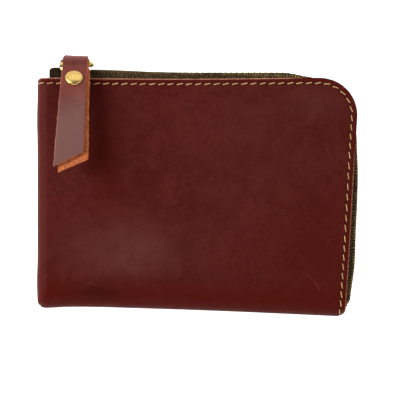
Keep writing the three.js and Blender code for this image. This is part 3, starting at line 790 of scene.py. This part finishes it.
def on_chain(distance, outward, z):
    """Points at distances along the teeth's middle line, pushed out of the pouch by outward."""
    distance, outward, z = np.broadcast_arrays(distance, outward, z)
    at, ahead, behind = (
        [np.interp(distance + step, CHAIN_RUN, CHAIN_LINE[:, k]) for k in (0, 1)] for step in (0.0, 0.4, -0.4)
    )
    tangent_x, tangent_y = ahead[0] - behind[0], ahead[1] - behind[1]
    size = np.hypot(tangent_x, tangent_y)
    return np.stack([at[0] - tangent_y / size * outward, at[1] + tangent_x / size * outward, z], axis=-1)


def tape_profile():
    """The tape's middle line from beside the teeth, round under the leather's edge and in."""
    seam = EDGE_RISE - LEATHER - 0.3 - TAPE / 2
    start = CHAIN_HALF_WIDTH + 0.3
    lip = [[0.0, start], [0.0, start + 0.35], [0.12, start + 0.6], [0.36, start + 0.78], [0.6, start + 0.96]]
    bend = [[0.66, seam - 0.32], [0.52, seam - 0.12], [0.25, seam], [-0.2, seam + 0.04], [-0.7, seam + 0.03]]
    flat = [[out, seam] for out in (-1.3, -2.2, -4.0, -6.0, -7.5)]
    return np.array([*lip, *bend, *flat])


def tape_narrowing(distance):
    """How far in the tape's outer edge lies: more towards the corner, and less after it."""
    narrowing = -TAPE_FULLNESS
    for depth, start, reach in TAPE_STEPS:
        narrowing = narrowing + depth * smooth((distance - start) / reach)
    for depth, middle, reach in TAPE_SWELLS:
        narrowing = narrowing - depth * bell((distance - middle) / reach)
    sunk = smooth((distance - 22) / 40) * (1 - smooth((distance - 95) / 30))
    return narrowing + TAPE_SINK * sunk


def add_tape(name, node, side):
    profile = tape_profile()
    ahead = np.gradient(profile, axis=0)
    ahead /= np.linalg.norm(ahead, axis=1)[:, None]
    normal = np.stack([ahead[:, 1], -ahead[:, 0]], 1)
    length = CHAIN_LENGTH + TAPE_TAIL
    distance = np.linspace(0, length, round(length / 0.5))
    across = np.concatenate([[0.0], np.cumsum(np.linalg.norm(np.diff(profile, axis=0), axis=1))])
    ribs = 0.09 * np.sin(math.tau * distance / 1.52)[:, None] * np.clip(1 - across / 4.0, 0, 1)
    fold = TAPE_FOLD * roll_profile(distance, 2.4) * smooth((4.9 - distance) / 1.2)
    fold -= TAPE_ROUNDING * (1 - roll_profile(length - distance, 3.4))
    shift = fold[:, None] * smooth((4.6 - across) / 2.0) * smooth((across - 0.5) / 0.5)
    shift = shift - tape_narrowing(distance)[:, None] * smooth((across - 0.65) / 0.6)
    tucked = 1 - 0.5 * smooth((distance - CHAIN_LENGTH + 4) / 6)[:, None] * smooth((across - 3.2) / 2.5)
    pressed = TAPE_PRESS * (1 - smooth((distance - 16.5) / 4))[:, None] * (1 - smooth((across - 2.4) / 1.6))
    level = profile[:, 1] - pressed * (profile[:, 1] - profile[0, 1])
    layers = []
    for half in (TAPE / 2, -TAPE / 2):
        out = profile[:, 0] + normal[:, 0] * (half + ribs) + shift
        rise = level * tucked + normal[:, 1] * (half + ribs)
        layers.append(on_chain(distance[:, None], out, MID_Z + side * rise))
    points, faces = slab(*layers)
    spots = np.broadcast_arrays(distance[:, None], across[None, :])
    values = both_layers({"run": spots[0], "across": spots[1]})
    piece = make_piece(name, points, faces, LOOKS["tape"], values)
    return show(piece, "root", node)


def tooth_block():
    """One tooth: x along the chain, y out of the pouch and z from its tape to its rounded head."""
    work = bmesh.new()
    bmesh.ops.create_cube(work, size=1.0)
    for v in work.verts:
        head = v.co.z < 0
        v.co.x *= 1.02 if head else 1.34
        v.co.y *= 1.1 if head else 2 * CHAIN_HALF_THICK
        v.co.z = -0.42 if head else CHAIN_HALF_WIDTH
    bmesh.ops.bevel(work, geom=work.edges[:], offset=0.26, segments=2, profile=0.6, affect="EDGES")
    points = np.array([v.co for v in work.verts])
    work.verts.index_update()
    faces = [[v.index for v in f.verts] for f in work.faces]
    work.free()
    return points, faces


def add_teeth(name, node, side):
    block, faces = tooth_block()
    first = SLIDER_START_X - CHAIN_START_X + 0.6
    count = int((CHAIN_LENGTH - 5.2 - first) / TOOTH_PITCH)
    parts = []
    for i in range(count):
        at = first + (i + (0.5 if side < 0 else 0.0)) * TOOTH_PITCH
        parted = 1.2 if at < SLIDER_START_X - CHAIN_START_X + 3.5 else 0.0
        rise = np.minimum(block[:, 2] + parted, CHAIN_HALF_WIDTH)
        parts.append((on_chain(at + block[:, 0], block[:, 1], MID_Z + side * rise), faces))
    points, faces = join_parts(parts)
    piece = make_piece(name, points, faces, LOOKS["teeth"], sharp=40)
    return show(piece, "root", node)


# ---- Slider, stops and pull ring ----


def finish_cad_metal(node, look, width):
    """Keeps a CAD part and gives its edges a small round and its surface a metal."""
    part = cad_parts[node]
    for place in part.material_slots:
        place.material = look
    rounding = part.modifiers.new("rounded_edges", "BEVEL")
    rounding.width = width * MM
    rounding.segments = 3
    rounding.limit_method = "ANGLE"
    rounding.angle_limit = math.radians(35)
    rounding.harden_normals = True
    return part


def ring_line():
    """The middle of the ring's wire, a rounded rectangle in X and Z."""
    left, right = RING_LEFT_X + RING_CORNER, RING_RIGHT_X - RING_CORNER
    back, front = RING_BACK_Z + RING_CORNER, RING_FRONT_Z - RING_CORNER
    corners = []
    for x, z, start in ((right, back, -90), (right, front, 0), (left, front, 90), (left, back, 180)):
        turn = np.radians(np.linspace(start, start + 90, 9))
        level = np.full(len(turn), RING_Y)
        corners.append(np.stack([x + RING_CORNER * np.cos(turn), level, z + RING_CORNER * np.sin(turn)], 1))
    points = []
    for corner, following in zip(corners, [*corners[1:], corners[0]]):
        side = [corner[-1] + (following[0] - corner[-1]) * t for t in (0.25, 0.5, 0.75)]
        points += [*corner, *side]
    return np.array(points)


def add_ring():
    points, faces = tube(ring_line(), WIRE, 20, closed=True, across=(0.0, 1.0, 0.0))
    piece = make_piece("brass_pull_ring", points, faces, LOOKS["ring"])
    return show(piece, "ring", "pull_ring")


# ---- Strap and rivet ----


def strap_slope(distance):
    eased = np.maximum(0, distance - CLIMB)
    return SHALLOW + (STEEP - SHALLOW) * np.exp(-eased / SETTLE)


def strap_rise(distance):
    eased = np.maximum(0, distance - CLIMB)
    curve = (STEEP - SHALLOW) * SETTLE * (1 - np.exp(-eased / SETTLE))
    return STEEP * np.minimum(distance, CLIMB) + SHALLOW * eased + curve


def on_strap(distance, height):
    """Y and Z of a point at a height above the strap's middle surface."""
    angle = np.arctan(strap_slope(distance))
    y = RING_Y - distance + height * np.sin(angle)
    z = RING_FRONT_Z + strap_rise(distance) + height * np.cos(angle)
    return y, z


def ply_height(distance):
    opened = LOOP + STRAP / 2
    shut = (PLY_GAP + STRAP) / 2
    return shut + (opened - shut) * (1 - smooth(distance / PINCH))


def ply_edges(front, distance):
    if front:
        return PLY_LEFT_X - 0.0825 * distance, FOLD_RIGHT_X - 0.03 * distance
    flare = smooth((distance - 0.7) / 1.7)
    return FOLD_LEFT_X - 0.8 * flare - 0.045 * distance, FOLD_RIGHT_X + flare - 0.01 * distance


def strap_stations():
    """Stations along the strap's leather: share of the front ply, turn of the fold, share of the back ply."""
    shares = np.concatenate([[1.0, 0.994, 0.985], np.linspace(0.96, 0.24, 34), np.linspace(0.22, 0.01, 22)])
    turns = np.linspace(90, -90, 19)
    front = [("front", share) for share in shares]
    fold = [("fold", turn) for turn in turns]
    back = [("back", share) for share in shares[::-1]]
    return front + fold + back


def strap_point(kind, share, across, half):
    """Points of one station, at shares across the strap and heights off its leather's middle."""
    if kind == "fold":
        turn = math.radians(share)
        lean = math.atan(STEEP)
        skewed = (-0.02 - 0.42 * across - 0.08 * np.sin(math.pi * across)) * bell((turn - lean) / 0.8)
        radius = LOOP + STRAP / 2 + half + skewed
        left = FOLD_LEFT_X - (FOLD_LEFT_X - PLY_LEFT_X) * smooth((share - 15) / 75)
        right = FOLD_RIGHT_X + 0.3 * bell((share - 15) / 50)
        away, up = radius * math.cos(turn), radius * math.sin(turn)
        y = RING_Y + away * math.cos(lean) + up * math.sin(lean)
        z = RING_FRONT_Z - away * math.sin(lean) + up * math.cos(lean)
        right = right + np.where(half < 0, FOLD_TWIST * smooth((share - 35) / 55), 0.0)
        return np.stack([left + (right - left) * across, y, z], axis=-1)
    front = kind == "front"
    long_left, long_right = FRONT_REACH if front else BACK_REACH
    distance = share * (long_left + (long_right - long_left) * across)
    left, right = ply_edges(front, distance)
    if front:
        right = right + np.where(half < 0, FOLD_TWIST * (1 - smooth(distance / 5)), 0.0)
    height = ply_height(distance) + half
    y, z = on_strap(distance, height if front else -height)
    return np.stack([left + (right - left) * across, y, z], axis=-1)


def add_strap():
    rows = strap_stations()
    rim = np.array([0.0, 0.012, 0.03, 0.06])
    across = np.concatenate([rim, np.linspace(0.1, 0.9, 13), 1 - rim[::-1]])
    edge = np.minimum(across, 1 - across) * 10
    soft = 0.62 + 0.38 * np.sqrt(1 - (1 - np.clip(edge / 0.35, 0, 1)) ** 2)
    random = np.random.default_rng(11)
    outer, inner, raw, painted_red_shade, painted_sheen = [], [], [], [], []
    for i, (kind, share) in enumerate(rows):
        tip = min(i, len(rows) - 1 - i)
        ragged = np.zeros(len(across))
        ragged[[0, -1]] = random.normal(0, 0.006, 2)
        half = STRAP / 2 * soft * (0.7, 0.9, 1.0)[min(tip, 2)]
        outer.append(strap_point(kind, share, across + ragged, half))
        inner.append(strap_point(kind, share, across + ragged, -half))
        raw.append(np.where((edge < 0.05) | (tip == 0), 1.0, 0.0))
        reach = 0.0 if kind == "fold" else share * 40
        # Painted shade: a deeper red round the rivet's reach.
        painted_red_shade.append(np.full(len(across), float(0.75 * bell((reach - RIVET_REACH) / 6.5))))
        # Painted sheen: greyer towards the strap's tips.
        painted_sheen.append(np.full(len(across), float(0.85 * smooth((reach - 10) / 14))))
    outer, inner = np.array(outer), np.array(inner)
    points, faces = slab(outer, inner)
    values = both_layers({"raw": raw, "painted_red_shade": painted_red_shade, "painted_sheen": painted_sheen})
    values["raw"][np.size(raw) :] = 1.0
    piece = make_piece("folded_strap", points, faces, LOOKS["strap_leather"], values, sharp=60)
    return show(piece, "strap", "pull_strap")


def lathe(profile, height, segments=40):
    """Points and faces of a turned piece on the rivet's axis, at a height off the strap's middle."""
    lean = math.atan(STEEP)
    y0, z0 = on_strap(RIVET_REACH, height)
    rings = [(r, h) for r, h in profile if r > 0]
    turn = np.arange(segments) * math.tau / segments
    points = []
    for r, h in [profile[0], *rings, profile[-1]]:
        turns = turn if r > 0 else turn[:1]
        for angle in turns:
            x, v = r * math.cos(angle), r * math.sin(angle)
            y = y0 + v * math.cos(lean) + h * math.sin(lean)
            z = z0 - v * math.sin(lean) + h * math.cos(lean)
            points.append([RIVET_X + x, y, z])
    faces = grid_faces(len(rings), segments, first=1, wrap_columns=True)
    last = len(points) - 1
    for j in range(segments):
        k = (j + 1) % segments
        faces.append([0, 1 + j, 1 + k][::-1])
        faces.append([last, last - segments + j, last - segments + k])
    return np.array(points), faces


def add_rivet():
    face = STRAP + PLY_GAP / 2
    climb = np.radians(np.linspace(4, 86, 14))
    rise = [(3.45 * math.cos(a), 0.42 + 0.98 * math.sin(a) ** 0.9) for a in climb]
    cap = [(0, 0.1), (2.8, 0.1), (3.2, 0.12), (3.42, 0.22), (3.5, 0.38), *rise, (0, 1.4)]
    piece = make_piece("rivet_cap_dome", *lathe(cap, face), LOOKS["rivet"], sharp=50)
    show(piece, "strap", "rivet_cap")
    shank = 2 * face - 0.1
    foot = [(0, -0.8), (2.0, -0.79), (2.45, -0.72), (2.68, -0.52), (2.7, -0.33), (2.6, -0.2), (1, -0.2)]
    post = [*foot, (1, shank), (0, shank)]
    piece = make_piece("rivet_post_turned", *lathe(post, -face), LOOKS["rivet"], sharp=50)
    return show(piece, "strap", "rivet_post")


# ---- Thread ----


def stitch(start, end, normal, strand=STRAND, arch=0.6, seed=0, middle=None):
    """One stitch of two twisted strands that dips into the leather at both ends."""
    t = np.linspace(0, 1, 13)
    start, end, normal = (np.asarray(v, float) for v in (start, end, normal))
    rise = -0.35 + arch * (1 - np.abs(2 * t - 1) ** 5)
    line = start + (end - start) * t[:, None] + normal * rise[:, None]
    if middle is not None:
        line += (4 * t * (1 - t))[:, None] * (middle - (start + end) / 2)
    length = np.linalg.norm(end - start)
    along = (end - start) / length
    side = np.cross(normal, along)
    twist = math.tau * (length / 1.7) * t + seed
    thickness = strand * (1.08 - 0.5 * (2 * t - 1) ** 4)
    parts = []
    for phase in (0, math.pi):
        offset = np.cos(twist + phase)[:, None] * side + np.sin(twist + phase)[:, None] * normal
        parts.append(tube(line + 0.75 * strand * offset, thickness, 6, across=normal))
    return join_parts(parts)


def zip_stitch_ends(side):
    """The start, middle and end of each stitch on a panel, as points on the leather's face."""
    side_run = HEIGHT - ZIP_CORNER + 1.2
    count = int((TOP_RUN + ARC_RUN + side_run) / STITCH_PITCH)
    ends = []
    for i in range(-1, count):
        pair = []
        for share, offset in ((0.0, -STITCH_SLANT), (STITCH_SHARE / 2, 0.0), (STITCH_SHARE, STITCH_SLANT)):
            run = (i + share) * STITCH_PITCH
            pair.append(stitch_spot(run, offset, side))
        ends.append(pair)
    return ends


def stitch_spot(run, offset, side):
    """The point on the leather at a run along the stitching, moved towards the edge by offset."""
    if run < TOP_RUN:
        p, q = STITCH_START + run, STITCH_INSET - offset
    elif run < TOP_RUN + ARC_RUN:
        turn = (run - TOP_RUN) / STITCH_RADIUS
        inset = STITCH_INSET - offset
        dx, dy = math.sin(turn), math.cos(turn)
        reach = (ZIP_CORNER - inset) / max(dx, dy)
        p, q = WIDTH - ZIP_CORNER + dx * reach, ZIP_CORNER - dy * reach
    else:
        p, q = WIDTH - STITCH_INSET + offset, ZIP_CORNER + run - TOP_RUN - ARC_RUN
    return on_shell(np.array(p), np.array(q), 0.1, side, LEATHER_CORNER)


def add_zip_stitching(name, node, side):
    parts = []
    for i, (start, middle, end) in enumerate(zip_stitch_ends(side)):
        lean = np.array([0.0, 0.0, float(side)])
        parts.append(stitch(start, end, lean, seed=i * 1.3, middle=middle))
    piece = make_piece(name, *join_parts(parts), LOOKS["thread"])
    return show(piece, "root", node)


def running_stitches(corners, pitch, share, normal, strand, arch):
    """Stitches along straight runs between corner points."""
    parts = []
    for a, b in zip(corners[:-1], corners[1:]):
        a, b = np.array(a, float), np.array(b, float)
        length = np.linalg.norm(b - a)
        count = max(1, int(length / pitch))
        for i in range(count):
            start = a + (b - a) * (i / count)
            end = a + (b - a) * ((i + share) / count)
            parts.append(stitch(start, end, normal, strand, arch, i))
    return join_parts(parts)


def add_seam_thread():
    inset = LEATHER + 0.5
    corners = []
    for p, q in [(inset, 4.0), (inset, HEIGHT - inset), (WIDTH - 10, HEIGHT - inset)]:
        x, y = skew(np.array(p), np.array(q))
        corners.append([float(x) + 0.6, float(y) + 0.4, MID_Z - 0.15])
    points, faces = running_stitches(corners, SEAM_PITCH, 0.9, [0, 0, 1], 0.1, 0.5)
    piece = make_piece("seam_stitching", points, faces, LOOKS["inner_thread"])
    return show(piece, "root", "seam_thread")


# ---- Slip pocket ----


def add_pocket():
    (left, bottom, rest), (right, top, _) = cad_box("slip_pocket")
    x, y = np.meshgrid(np.linspace(left, right, 60), np.linspace(bottom, top, 44), indexing="ij")
    hem = 0.3 * smooth((y - (top - 7)) / 0.4)
    wave = 0.1 * (1 + wander(x, y, 16, 31)) * smooth((right - x) / 6) * smooth((x - left) / 6)
    base = rest + wave
    outer = np.stack([x, y, base + LINING + hem], axis=-1)
    inner = np.stack([x, y, base], axis=-1)
    points, faces = slab(outer, inner)
    piece = make_piece("pocket_panel", points, faces, LOOKS["pocket"])
    show(piece, "root", "slip_pocket")
    inset = 2.0
    height = rest + LINING + 0.25
    sides, rows = (left + inset, right - inset), (top - 1, bottom + inset)
    corners = [(sides[0], rows[0]), (sides[0], rows[1]), (sides[1], rows[1]), (sides[1], rows[0])]
    line = [(*corner, height) for corner in corners]
    points, faces = running_stitches(line, SEAM_PITCH, 0.72, [0, 0, 1], 0.12, 0.5)
    piece = make_piece("pocket_thread", points, faces, LOOKS["inner_thread"])
    show(piece, "root", "pocket_stitching")


# ---- Studio ----


def add_light(name, place, size, power):
    data = bpy.data.lights.new(name, "AREA")
    data.shape = "RECTANGLE"
    data.size, data.size_y = size
    data.energy = power
    lamp = add_object(name, data)
    lamp.location = place
    direction = np.array(LIGHT_AIM) - np.array(place)
    lamp.rotation_euler = Vector(direction).to_track_quat("-Z", "Y").to_euler()


def add_world():
    """A light tent, bright near the floor and dim overhead, so that level faces keep their colour."""
    world = bpy.data.worlds.new("tent")
    world.use_nodes = True
    bpy.context.scene.world = world
    nodes, links = world.node_tree.nodes, world.node_tree.links
    spot = nodes.new("ShaderNodeTexCoord")
    parts = nodes.new("ShaderNodeSeparateXYZ")
    fade = nodes.new("ShaderNodeMapRange")
    fade.interpolation_type = "SMOOTHSTEP"
    for key, value in {"From Min": 0.1, "From Max": 0.85, "To Min": 0.95, "To Max": 0.12}.items():
        fade.inputs[key].default_value = value
    links.new(spot.outputs["Generated"], parts.inputs["Vector"])
    links.new(parts.outputs["Z"], fade.inputs["Value"])
    links.new(fade.outputs["Result"], nodes["Background"].inputs["Strength"])
    nodes["Background"].inputs["Color"].default_value = (1.0, 0.99, 0.97, 1.0)


def add_floor():
    mesh = bpy.data.meshes.new("floor")
    level = cad_bounds[0].z - FLOOR_GAP
    turns = ((-1, -1), (1, -1), (1, 1), (-1, 1))
    mesh.from_pydata([(x * FLOOR_REACH, y * FLOOR_REACH, level) for x, y in turns], [], [[0, 1, 2, 3]])
    mesh.materials.append(floor_look())
    floor = add_object("floor", mesh)


def add_camera():
    """Straight above the pouch, with a long lens."""
    data = bpy.data.cameras.new("camera")
    data.lens = data.sensor_width * CAMERA_HEIGHT / VIEW_WIDTH
    data.clip_start, data.clip_end = 0.05, 20.0
    camera = add_object("camera", data)
    camera.location = (*CAMERA_SPOT, MID_Z * MM + CAMERA_HEIGHT)
    bpy.context.scene.camera = camera


add_camera()
add_world()
add_floor()
for light in LIGHTS:
    add_light(*light)
bpy.context.scene.view_settings.view_transform = "Standard"

add_panel("leather_front", "front_panel", 1)
add_panel("leather_back", "back_panel", -1)
add_lining("lining_front", "front_lining", 1)
add_lining("lining_back", "back_lining", -1)
add_tape("tape_front", "zip_tape_front", 1)
add_tape("tape_back", "zip_tape_back", -1)
add_teeth("teeth_front", "zip_teeth_front", 1)
add_teeth("teeth_back", "zip_teeth_back", -1)
finish_cad_metal("slider_body", LOOKS["brass"], 0.18)
for stop in ("top_stop_front", "top_stop_back", "bottom_stop"):
    finish_cad_metal(stop, LOOKS["teeth"], 0.2)
add_ring()
add_strap()
add_rivet()
add_zip_stitching("stitches_front", "front_stitching", 1)
add_zip_stitching("stitches_back", "back_stitching", -1)
add_seam_thread()
add_pocket()
